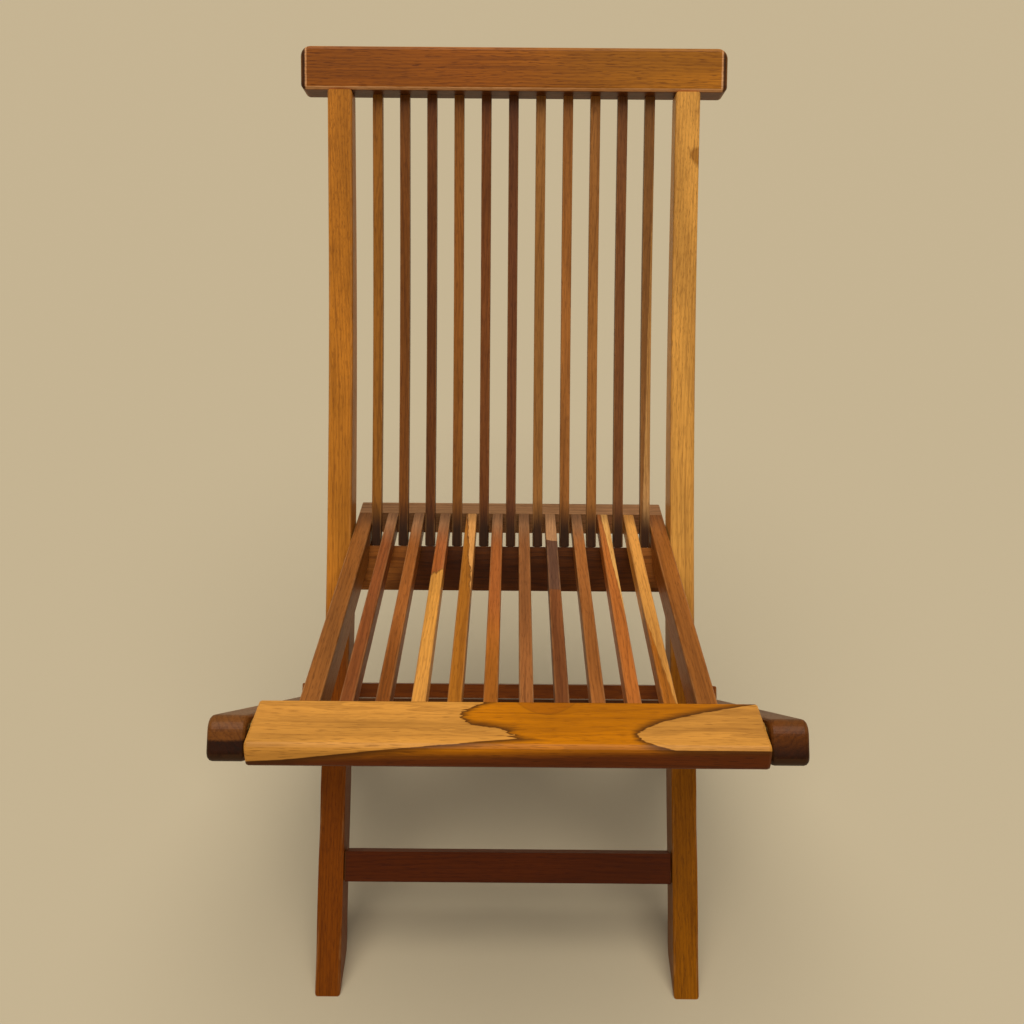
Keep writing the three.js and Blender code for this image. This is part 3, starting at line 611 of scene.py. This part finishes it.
# %% Back slats
BACK_SLATS = [
    ("8d581c", "a46722", "5f340c"),
    ("704014", "834b19", "4b2508"),
    ("5f3413", "703e18", "3f1d07"),
    ("85501c", "9c5e23", "5a2f0d"),
    ("6c3c17", "7e471d", "48220a"),
    ("61361a", "714020", "401e0b"),
    ("93612d", "ac7235", "633b17"),
    ("935b26", "ac6b2e", "633713"),
    ("925d28", "aa6d30", "623814"),
    ("714421", "845028", "4b2710"),
    ("7f5225", "94602d", "553012"),
]
# The dark slat feet: partly the wood's own tone, partly painted shade under the seat.
SLAT_FOOT_SHADE = ("2e1809", "3d220f", "1c0d04")
SLAT_11_PALE = ("b5803f", "c8955a", "7c4f22")
FOOT_HEIGHT = 0.055
FOOT_FADE = 0.022


def pith_beside(index, nearest, step, out):
    """A pith to the left and right of the slats by turns, and further off from slat to slat."""
    side = -1 if index % 2 else 1
    return side * (nearest + step * index), out


low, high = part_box("back_slat_01")
half_length = (high - low).yz.length / 2
shaded_foot = patch(SLAT_FOOT_SHADE, edge_of((FOOT_HEIGHT - half_length, 0, 0), (-1, 0, 0)), soft=FOOT_FADE)
pale_strip = patch(SLAT_11_PALE, edge_of((-0.09, 0.0, 0), (-0.02, 1, 0)), soft=0.0008, dark=0.5)
for index, tones in enumerate(BACK_SLATS, start=1):
    patches = [pale_strip, shaded_foot] if index == len(BACK_SLATS) else [shaded_foot]
    in_teak(f"back_slat_{index:02d}", curved, tones, ring=0.003, seed=10 + index,
            pith=pith_beside(index, nearest=0.02, step=0.004, out=0.035), patches=patches)
print("back slats", len(BACK_SLATS), "of length", round(2 * half_length, 3))

# %% [markdown]
# The rails below the seat are of the darkest planks, a deep red-brown. They were cut near the
# middle of the trunk, so their rings are wide and swirl. The swirl could be bent by hand. It is
# simpler to put the pith close to the board, as it was in the tree, and to let the radius waver. The
# lower back rail is paler towards both ends, along curved edges.

# %% Rails, stretchers and the stop bar
LOWER_BACK_RAIL = ("421d04", "552a08", "260e01")
RAIL_END = ("94551e", "a4642a", "5c3010")
FRONT_STRETCHER = ("4b1d03", "592403", "320d00")
REAR_STRETCHER = ("4b2711", "643818", "251106")
STOP_BAR = ("6c3406", "7e3d08", "481d03")
left_end = edge_of((-0.12, 0, 0), (-1, 0.5, 0), bow=9.0)
right_end = edge_of((0.145, 0, 0), (1, 0.6, 0), bow=9.0)
in_teak("lower_back_rail", crosswise, LOWER_BACK_RAIL, pith=(-0.03, 0.01), ring=0.006, rings=0.6,
        waver=0.012, seed=30, patches=[
            patch(RAIL_END, left_end, soft=0.02, band=0.03, dark=0.3),
            patch(RAIL_END, right_end, soft=0.008, band=0.02, dark=0.3)])
in_teak("front_stretcher", crosswise, FRONT_STRETCHER, pith=(0.05, 0.02), ring=0.005, waver=0.006,
        seed=31)
in_teak("rear_stretcher", crosswise, REAR_STRETCHER, pith=(0.05, 0.02), ring=0.005, seed=33)
in_teak("stop_bar", crosswise, STOP_BAR, pith=(0.0, -0.04), ring=0.006, rings=0.55, waver=0.01,
        seed=32)
print("stop bar leans", [round(v, 2) for v in largest_face("stop_bar")])

# %% [markdown]
# The rear legs rise beside the seat and end in a rounded top that is polished by use. Below a level
# line each end is painted nearly black: painted shade on the part of the rounded end that faces
# down. The line is level on the chair and not square to the leg. So its height and the downward
# direction are first turned into the leg's own directions, and the patch is what lies both under
# the line and at the very end.

# %% Rear legs
REAR_LEG_LEFT = ("693c13", "7b4719", "462207")
REAR_LEG_RIGHT = ("552b07", "653409", "381803")
# Painted shade: the downward-facing part of each rear leg's end.
LEG_END_SHADE = ("240b02", "2f1203", "130600")
LEVEL_LINE = 0.430
LEG_TIP = -0.318


def shade_under_the_top(name, soft):
    """The part of a leg's front end that faces down, from a level height on, painted dark as shade."""
    low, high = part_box(name)
    drop = LEVEL_LINE - (low.z + high.z) / 2
    down = Vector([-row[2] for row in lengthwise(name)])
    below_the_line = edge_of(-drop * down, down)
    at_the_tip = edge_of((LEG_TIP, 0, 0), (-1, 0, 0))
    return patch(LEG_END_SHADE, shared(below_the_line, at_the_tip), soft=soft)


in_teak("rear_leg_left", lengthwise, REAR_LEG_LEFT, pith=(0.05, 0.03), ring=0.0035, waver=0.005,
        streaks=0.7, seed=34, wear=0.05, patches=[shade_under_the_top("rear_leg_left", 0.0012)])
in_teak("rear_leg_right", lengthwise, REAR_LEG_RIGHT, pith=(-0.04, 0.04), waver=0.006, seed=35,
        wear=0.05, patches=[shade_under_the_top("rear_leg_right", 0.007)])
print("rear legs run at", round(math.degrees(math.asin(lengthwise("rear_leg_left")[0][2])), 1))

# %% [markdown]
# The wide front rail of the seat is the showpiece. It is an orange heartwood board that was sawn
# through the sapwood at both ends, so a golden tongue reaches in from the left and a drop from the
# right, each inside a dark line. A picture of it would blur when seen close. Edges that are worked
# out as distances stay sharp, and unions and shares of a few of them draw the whole figure. Places
# on it are given in millimetres: across the chair from its middle, and forward from the rail's top
# rear arris.


# %% The figure of the front rail
def rail_point(x, forward):
    return (x * MILLIMETRE, -forward * MILLIMETRE, 0.0)


def over_nose(edge):
    """The same edge with the rail's rounded nose laid out flat, so that it goes on over it."""
    def inside(board, at):
        parts = board.add("ShaderNodeSeparateXYZ", {"Vector": at}).outputs
        forward = board.math("ADD", parts[1], parts[2])
        return edge(board, board.add("ShaderNodeCombineXYZ", {0: parts[0], 1: forward}).outputs[0])
    return inside


TONGUE_TIP = rail_point(1, 43)
tongue = edge_of(TONGUE_TIP, (-1, 0, 0), bow=250.0, ragged=0.03)
notch = edge_of(rail_point(-39, 19), (1, 0, 0), bow=50.0, ragged=0.02)
field_front = edge_of(rail_point(-125, 67), (-0.134, 1, 0), ragged=0.001)
field_corner = edge_of(rail_point(-180, 74.4), (-0.06, 1, 0), ragged=0.001)
drop = edge_of(rail_point(106, 45), (1, 0.07, 0), bow=75.0, ragged=0.012)
drop_front = edge_of(rail_point(150, 62), (0, 1, 0), ragged=0.0005)

left_gold = over_nose(joined(tongue, shared(outside(notch), field_front, field_corner)))
right_gold = over_nose(shared(drop, drop_front))
# The edge of the painted shade on the rail's nose.
nose_shade_edge = over_nose(edge_of(rail_point(60, 64), (0.03, -1, 0), ragged=0.003))
crescent = edge_of(rail_point(32, 16), (0, 1, 0), bow=28.0, ragged=0.001)
print("the tongue's tip", [round(v, 4) for v in TONGUE_TIP])

# %% [markdown]
# Now the rail itself, with its figure, and the other rails of the seat. The lower part of its nose,
# which faces down, is painted darker as painted shade. The order of its patches matters: each one
# is laid over those before it, so the gold comes last. The rear rail is a greyish tan: tan wood,
# greyed in part by a painted reflection.

# %% Seat rails
RAIL_HEART = ("af6601", "cc7801", "773d00")
RAIL_CRESCENT = ("a45c01", "c06e02", "6d3600")
# Painted shade: the lower nose of the front rail, which faces down.
NOSE_PAINTED_SHADE = ("582403", "672d05", "311101")
RAIL_GOLD = ("b97e33", "d7933d", "7e4d1b")
# Tan greyed in part by a painted reflection.
SEAT_REAR_RAIL_SHEEN = ("a47449", "bf8857", "6f4729")
SIDE_RAIL_LEFT = ("7f4b1d", "955924", "552c0d")
SIDE_RAIL_RIGHT = ("8d521d", "a56124", "5f310d")
SLAT_TENON = 12.5 * MILLIMETRE
low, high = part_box("seat_slat_05")
rail_arris = (0.0, low.y + SLAT_TENON, high.z)
in_teak("seat_front_rail", crosswise, RAIL_HEART, pith=(0.02, -0.09), ring=0.006, rings=0.3,
        waver=0.01, streaks=0.4, seed=40, wear=0.04, start=rail_arris, patches=[
            patch(RAIL_CRESCENT, crescent, soft=0.001, band=0.002, dark=0.35),
            patch(NOSE_PAINTED_SHADE, nose_shade_edge, soft=0.008),
            patch(RAIL_GOLD, left_gold, band=0.008, dark=0.9),
            patch(RAIL_GOLD, right_gold, band=0.008, dark=0.9)])
in_teak("seat_rear_rail", crosswise, SEAT_REAR_RAIL_SHEEN, pith=(0.04, 0.06), seed=41)
in_teak("seat_side_rail_left", lengthwise, SIDE_RAIL_LEFT, seed=42, pith=(0.05, 0.03))
in_teak("seat_side_rail_right", lengthwise, SIDE_RAIL_RIGHT, seed=43, pith=(-0.05, 0.03))
print("rail arris", [round(v, 4) for v in rail_arris])

# %% [markdown]
# The seat slats are as mixed as the back slats. Five of them cross from one tone to another, where
# the saw left the heartwood. An edge whose direction points along the slat ends one tone and starts
# the next. One that points nearly across it splits the slat lengthwise, and a small lean lets the
# line wander from one side to the other. At the back, the tops of several slats are painted greyer,
# a painted sheen for the pale reflection they give at a low angle, and three of them change
# towards the front. Those are patches that fade over some centimetres.

# %% Seat slats
SEAT_SLATS = [
    ("7e441d", "935024", "54270d"),
    ("8b4f1e", "a25d25", "5d2f0e"),
    ("ca8a39", "eba144", "8a551f"),
    ("a46318", "c0741e", "6f3c0a"),
    ("8f4e1f", "a75c25", "602e0e"),
    ("865026", "9d5f2e", "5a2f13"),
    ("75411e", "894d24", "4e260e"),
    ("915523", "a9642b", "613211"),
    ("9e5921", "b86828", "6b3510"),
    ("ca8a3d", "eba149", "8a5522"),
]
# Painted sheen: a greyer tone for the reflection at the back of several slats.
REAR_SHEEN = ("8a5c38", "a06e46", "5f3c22")
SLAT_2_FRONT = ("7a4012", "8c4c18", "4a260a")
SLAT_3_RED = ("a4571f", "b4693a", "5c2c10")
SLAT_3_FRONT = ("dc9640", "efa84c", "98602a")
SLAT_4_GOLD = ("d9964c", "e3a45e", "a0652a")
SLAT_5_FRONT = ("9f5a18", "b86a22", "6a3a0c")
SLAT_7_DARK = ("5d3a28", "6c4733", "3a2216")
SLAT_7_END = ("b07d50", "c08e60", "7a5232")
SLAT_9_GOLD = ("d99a4a", "e2a758", "a5682a")
SLAT_10_FRONT = ("a55d14", "ba6c1c", "5e340c")
sheen_end = patch(REAR_SHEEN, edge_of((0.135, 0, 0), (1, 0, 0)), soft=0.035)


def front_end(tones, start):
    return patch(tones, edge_of((start, 0, 0), (-1, 0, 0)), soft=0.05)


SLAT_PATCHES = {
    1: [sheen_end],
    2: [sheen_end, front_end(SLAT_2_FRONT, -0.09)],
    3: [patch(SLAT_3_RED, edge_of((0.045, 0, 0), (1, -1.2, 0), ragged=0.012), soft=0.0008,
              band=0.004, dark=0.8),
        sheen_end, front_end(SLAT_3_FRONT, -0.1)],
    4: [patch(SLAT_4_GOLD, edge_of((0.1, 0, 0), (0.055, 1, 0), ragged=0.014, scale=130.0),
              band=0.002, dark=0.9)],
    5: [sheen_end, front_end(SLAT_5_FRONT, -0.06)],
    6: [sheen_end],
    7: [patch(SLAT_7_DARK, edge_of((0.008, 0, 0), (1, 0.1, 0)), dark=0.3),
        patch(SLAT_7_END, edge_of((0.118, 0, 0), (1, 0.25, 0), bow=40.0), band=0.002, dark=0.6)],
    8: [sheen_end],
    9: [patch(SLAT_9_GOLD, edge_of((0.03, 0.0035, 0), (0.035, 1, 0)), band=0.0012, dark=0.4)],
    10: [patch(SLAT_10_FRONT, edge_of((-0.13, 0, 0), (-0.07, -1, 0), ragged=0.003), dark=0.5)],
}
for index, tones in enumerate(SEAT_SLATS, start=1):
    in_teak(f"seat_slat_{index:02d}", lengthwise, tones, ring=0.0035, waver=0.006, seed=50 + index,
            pith=pith_beside(index, nearest=0.015, step=0.005, out=0.03),
            patches=SLAT_PATCHES[index])
print("seat slats", len(SEAT_SLATS), "with patches", sum(map(len, SLAT_PATCHES.values())))

# %% [markdown]
# The hardware is brass-plated steel gone a little dull. Fine turning marks run over each head, and
# the plating is browner where hands and weather have been. A metal of one roughness looks like
# plastic, so the tarnish changes its colour and its roughness together. All of it came from one
# plating bath, so one material serves every fastener.

# %% Brass hardware
BRASS = "c9a25a"
TARNISH = "8a6a38"
TARNISH_SCALE = 260.0
TARNISHED = (0.4, 0.7)
BRASS_ROUGHNESS = 0.28
TARNISH_ROUGHNESS = 0.25
MARK_STRETCH = (4000.0, 400.0, 400.0)
MARK_STRENGTH = 0.2
MARK_DEPTH = 0.1 * MILLIMETRE
HARDWARE = ("bolt", "nut", "washer", "spacer", "screw")


def brass(name):
    material, board = blank_material(name)
    at = board.add("ShaderNodeTexCoord").outputs["Object"]
    tarnish = board.noise(at, TARNISH_SCALE, detail=4.0, roughness=0.6)
    tarnish = board.between(tarnish, *TARNISHED)
    dulled = board.math("MULTIPLY", tarnish, TARNISH_ROUGHNESS)
    marks = board.stretched(at, MARK_STRETCH)
    bump = board.add("ShaderNodeBump", {"Height": marks, "Strength": MARK_STRENGTH,
                                        "Distance": MARK_DEPTH})
    shader = board.add("ShaderNodeBsdfPrincipled", {
        "Base Color": board.mix(tarnish, paint(BRASS), paint(TARNISH)),
        "Metallic": 1.0,
        "Roughness": board.math("ADD", BRASS_ROUGHNESS, dulled),
        "Normal": bump.outputs[0],
    })
    board.add("ShaderNodeOutputMaterial", {"Surface": shader.outputs[0]})
    return material


plating = brass("brass_plating")
fasteners = [name for name in nodes if any(word in name for word in HARDWARE)]
for name in fasteners:
    dress(name, plating)
print("fasteners", len(fasteners))

# %% [markdown]
# A fine arris catches the light only if its shading runs smoothly across it. The geometry stays as
# it is: a small modifier marks the faces smooth below a limit angle, and weighted normals keep the
# big faces flat.

# %% Smooth shading by angle
SMOOTH_BELOW = math.radians(50)


def smoothing_group():
    tree = bpy.data.node_groups.new("smooth_arrises", "GeometryNodeTree")
    tree.interface.new_socket("Geometry", in_out="INPUT", socket_type="NodeSocketGeometry")
    tree.interface.new_socket("Geometry", in_out="OUTPUT", socket_type="NodeSocketGeometry")
    board = Board(tree)
    start = board.add("NodeGroupInput")
    end = board.add("NodeGroupOutput")
    faces = board.add("GeometryNodeSetShadeSmooth", {"Geometry": start.outputs[0]}, domain="FACE")
    angle = board.add("GeometryNodeInputMeshEdgeAngle").outputs["Unsigned Angle"]
    soft = board.add("FunctionNodeCompare", {"A": angle, "B": SMOOTH_BELOW},
                     data_type="FLOAT", operation="LESS_THAN").outputs[0]
    edges = board.add("GeometryNodeSetShadeSmooth", {
        "Geometry": faces.outputs[0],
        "Shade Smooth": soft,
    }, domain="EDGE")
    board.feed(end.inputs[0], edges.outputs[0])
    return tree


smooth_arrises = smoothing_group()
for node in nodes.values():
    modifier = node.modifiers.new("smooth_arrises", "NODES")
    modifier.node_group = smooth_arrises
    weighted = node.modifiers.new("weighted_normals", "WEIGHTED_NORMAL")
    weighted.keep_sharp = True
print("smoothed below", round(math.degrees(SMOOTH_BELOW)), "degrees")

# %% [markdown]
# The stage is a plain pale floor. A real studio would sweep a roll of paper under the chair. Here
# one large square does, so wide that its far edge meets the backdrop unseen.

# %% Floor
FLOOR_SIZE = 60.0
FLOOR_TONE = "bdae90"
FLOOR_ROUGHNESS = 0.8
FLOOR_SHINE = 0.1

half = FLOOR_SIZE / 2
mesh = bpy.data.meshes.new("floor")
corners = [(-half, -half, 0), (half, -half, 0), (half, half, 0), (-half, half, 0)]
mesh.from_pydata(corners, [], [(0, 1, 2, 3)])
floor = bpy.data.objects.new("floor", mesh)
bpy.context.scene.collection.objects.link(floor)
floor_material, board = blank_material("floor")
shader = board.add("ShaderNodeBsdfPrincipled", {
    "Base Color": paint(FLOOR_TONE),
    "Roughness": FLOOR_ROUGHNESS,
    "Specular IOR Level": FLOOR_SHINE,
})
board.add("ShaderNodeOutputMaterial", {"Surface": shader.outputs[0]})
mesh.materials.append(floor_material)
print("floor", tuple(round(v, 1) for v in floor.dimensions))

# %% [markdown]
# The light is one broad soft lamp overhead, like a skylight. A sun lamp with a wide angle does this
# well: its light is the same everywhere, so the floor stays even, and its shadows are soft.

# %% The overhead light
OVERHEAD = 3.0
OVERHEAD_SPREAD = math.radians(60)
OVERHEAD_TINT = (1.0, 0.97, 0.92)
OVERHEAD_FROM = Vector((0.0, -0.16, 1.0))

lamp = bpy.data.lights.new("overhead", "SUN")
lamp.energy = OVERHEAD
lamp.angle = OVERHEAD_SPREAD
lamp.color = OVERHEAD_TINT
overhead = bpy.data.objects.new("overhead", lamp)
overhead.rotation_euler = (-OVERHEAD_FROM).to_track_quat("-Z", "Y").to_euler()
bpy.context.scene.collection.objects.link(overhead)
print("overhead light", OVERHEAD, "from", tuple(round(v, 2) for v in OVERHEAD_FROM))

# %% [markdown]
# The world fills the shadows a little. The camera and every reflection see a pale backdrop in the
# tone of the floor instead of that fill, so the picture has a calm background.

# %% The world
FILL = 0.16
FILL_TINT = (0.93, 0.96, 1.0, 1.0)
BACKDROP_TONE = "c7b594"

world = bpy.data.worlds.new("world")
bpy.context.scene.world = world
world.use_nodes = True
world.node_tree.nodes.clear()
board = Board(world.node_tree)
rays = board.add("ShaderNodeLightPath").outputs
seen = board.math("MAXIMUM", rays["Is Camera Ray"], rays["Is Glossy Ray"])
seen = board.math("MAXIMUM", seen, rays["Is Transmission Ray"])
fill = board.add("ShaderNodeBackground", {"Color": FILL_TINT, "Strength": FILL})
backdrop = board.add("ShaderNodeBackground", {"Color": paint(BACKDROP_TONE), "Strength": 1.0})
choice = board.add("ShaderNodeMixShader", {0: seen, 1: fill.outputs[0], 2: backdrop.outputs[0]})
board.add("ShaderNodeOutputWorld", {"Surface": choice.outputs[0]})
bpy.context.scene.view_settings.view_transform = "Standard"
print("fill", FILL, "backdrop", BACKDROP_TONE)

# %% [markdown]
